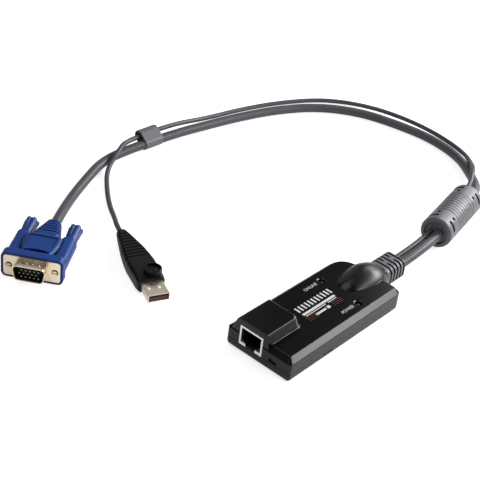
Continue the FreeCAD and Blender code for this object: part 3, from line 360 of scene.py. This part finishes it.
# Two-part printing inks: matt and opaque, worn a little thin in places. The pad's grain, about 0.1 mm, is
# drawn at 0.5 mm so that it shows.
white_ink = mottled("pad_printed_white_ink", dark="#c9c9cb", light="#e2e2e3", patch_mm=1.2, grain_mm=0.5,
                    grain_height_mm=0.004, roughness=(0.5, 0.65))
orange_ink = mottled("pad_printed_orange_ink", dark="#a04a2a", light="#b85a30", patch_mm=1.2, grain_mm=0.5,
                     grain_height_mm=0.004, roughness=(0.5, 0.65))
bar_pitch, bar_count = 2.6, 11
tall_bars = [(30.8 - bar_pitch * i, 3.4, 1.15, 4.0) for i in range(bar_count)]
long_bars = [(31.0, -0.9, 26.0, 1.6), (30.4, -2.6, 16.0, 0.5), (12.6, -2.6, 7.0, 0.5), (25.2, -5.1, 8.0, 1.4),
             (16.2, -5.1, 2.2, 2.0)]
print_ink("panel_bars", tall_bars + long_bars, white_ink)
dot_length, dot_width = 0.42, 0.4
dot_pitch_x, dot_pitch_y = 1.35, 1.25
dots = [(start - dot_pitch_x * i, -3.8 - dot_pitch_y * j, dot_length, dot_width)
        for start in (31.4, 11.4) for i in range(6) for j in range(3)]
print_ink("panel_dots", dots, orange_ink)
letter_height, letter_gap = 0.0028, 0.0042
for word, name, lamp in (("ONLINE", "online_label", "online_led"), ("POWER", "power_label", "power_led")):
    letters = bpy.data.curves.new(name, "FONT")
    letters.body, letters.size, letters.extrude = word, letter_height, ink_height / 2
    letters.align_x, letters.align_y = "RIGHT", "CENTER"
    letters.materials.append(white_ink)
    label = bpy.data.objects.new(name, letters)
    bpy.context.scene.collection.objects.link(label)
    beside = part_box(lamp)
    label.location = (lamp_x - letter_gap, (beside[0].y + beside[1].y) / 2, deck_z + ink_height / 2)
    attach(label, "adapter")

# ---------------------------------------------------------------- camera
# A long lens, a little above the adapter and off its socket corner, rolled slightly clockwise.
# It is shifted by half of one 480th of the frame each way.
azimuth, elevation, roll = math.radians(-52.05), math.radians(34.15), math.radians(7.24)
stand = (-0.4398, -0.2782, 0.3925)
ahead = Vector((-math.sin(azimuth) * math.cos(elevation), math.cos(azimuth) * math.cos(elevation),
                -math.sin(elevation)))
right = Vector((math.cos(azimuth), math.sin(azimuth), 0))
above = right.cross(ahead)
lens = bpy.data.cameras.new("camera")
lens.lens, lens.sensor_width = 91.88, 36
lens.shift_x, lens.shift_y = -0.00104, 0.00104
lens.clip_start, lens.clip_end = 0.05, 20
camera = bpy.data.objects.new("camera", lens)
bpy.context.scene.collection.objects.link(camera)
frame_right = right * math.cos(roll) + above * math.sin(roll)
frame_up = above * math.cos(roll) - right * math.sin(roll)
turned = Matrix((frame_right, frame_up, -ahead)).transposed()
camera.matrix_world = Matrix.Translation(stand) @ turned.to_4x4()
bpy.context.scene.camera = camera

# ---------------------------------------------------------------- floor
# A plain white table of matt board, just under the part. It glows white to the eye and faintly in gloss, and
# otherwise takes shade and lights the object as plain board does.
reach, floor_z = 4.0, -0.0001
floor_mesh = bpy.data.meshes.new("floor")
floor_mesh.from_pydata([(-reach, -reach, floor_z), (reach, -reach, floor_z), (reach, reach, floor_z),
                        (-reach, reach, floor_z)], [], [(0, 1, 2, 3)])
floor = bpy.data.objects.new("floor", floor_mesh)
bpy.context.scene.collection.objects.link(floor)
seen_glow, mirrored_glow = 0.72, 0.28
white_board = bpy.data.materials.new("matt_white_board")
white_board.use_nodes = True
board_tree = white_board.node_tree
board_tree.nodes.clear()
ray = node(board_tree, "ShaderNodeLightPath")
mirrored = node(board_tree, "ShaderNodeMath", {0: ray.outputs["Is Glossy Ray"],
                                               1: ray.outputs["Is Transmission Ray"]}, operation="MAXIMUM")
faint = node(board_tree, "ShaderNodeMath", {0: mirrored.outputs[0], 1: mirrored_glow}, operation="MULTIPLY")
glow = node(board_tree, "ShaderNodeMath", {0: ray.outputs["Is Camera Ray"], 1: seen_glow,
                                           2: faint.outputs[0]}, operation="MULTIPLY_ADD")
white = node(board_tree, "ShaderNodeEmission", {"Color": tint("#ffffff"), "Strength": glow.outputs[0]})
matt = node(board_tree, "ShaderNodeBsdfDiffuse", {"Color": tint("#e4e4e4")})
white_and_matt = node(board_tree, "ShaderNodeAddShader", {0: white.outputs[0], 1: matt.outputs[0]})
node(board_tree, "ShaderNodeOutputMaterial", {"Surface": white_and_matt.outputs[0]})
floor_mesh.materials.append(white_board)

# ---------------------------------------------------------------- light
# Four soft boxes stand in a low row beyond the case's right side and its boot. A dim one lights the left
# wall, a large one hangs overhead, and the room is dark grey, paler toward the floor.
world = bpy.data.worlds.new("studio")
bpy.context.scene.world = world
world.use_nodes = True
low_wall, high_wall = 0.02, 0.4     # sines of the rise above the horizon
pale_grey, dark_grey = 0.25, 0.09
room_tree = world.node_tree
room_tree.nodes.clear()
way = node(room_tree, "ShaderNodeTexCoord")
upward = node(room_tree, "ShaderNodeSeparateXYZ", {"Vector": way.outputs["Generated"]})
level = node(room_tree, "ShaderNodeMapRange", {"Value": upward.outputs["Z"], "From Min": low_wall,
                                               "From Max": high_wall, "To Min": pale_grey,
                                               "To Max": dark_grey}).outputs["Result"]
grey = node(room_tree, "ShaderNodeCombineColor", {"Red": level, "Green": level, "Blue": level})
room = node(room_tree, "ShaderNodeBackground", {"Color": grey.outputs["Color"], "Strength": 1.0})
node(room_tree, "ShaderNodeOutputWorld", {"Surface": room.outputs[0]})


def soft_box(name, bearing, rise, wide, tall, radiance):
    """A rectangular soft box 0.8 m from the boot half of the case and aimed there. Bearing is from the boot's
    direction round to the left. It, the rise and the two widths as seen from the case are in degrees."""
    bearing, rise, wide, tall = (math.radians(angle) for angle in (bearing, rise, wide, tall))
    distance, aim = 0.8, Vector((0.02, 0, 0.01))
    width, height = 2 * distance * math.tan(wide / 2), 2 * distance * math.tan(tall / 2)
    toward = Vector((math.cos(rise) * math.cos(bearing), math.cos(rise) * math.sin(bearing), math.sin(rise)))
    lamp = bpy.data.lights.new(name, "AREA")
    lamp.shape, lamp.size, lamp.size_y = "RECTANGLE", width, height
    lamp.energy = radiance * math.pi * width * height
    lamp_object = bpy.data.objects.new(name, lamp)
    bpy.context.scene.collection.objects.link(lamp_object)
    lamp_object.location = toward * distance + aim
    lamp_object.rotation_euler = (-toward).to_track_quat("-Z", "Y").to_euler()


soft_box("overhead", bearing=135, rise=67, wide=45, tall=45, radiance=1.3)
soft_box("beyond_right_corner", bearing=-75, rise=30, wide=24, tall=22, radiance=5.0)
soft_box("right_side", bearing=-40, rise=29, wide=22, tall=15, radiance=9.5)
soft_box("ahead_right", bearing=-15, rise=26, wide=26, tall=20, radiance=15.0)
soft_box("ahead", bearing=12, rise=28, wide=22, tall=18, radiance=6.0)
soft_box("left_wall", bearing=66, rise=32, wide=36, tall=26, radiance=0.45)

bpy.context.scene.view_settings.view_transform = "Standard"
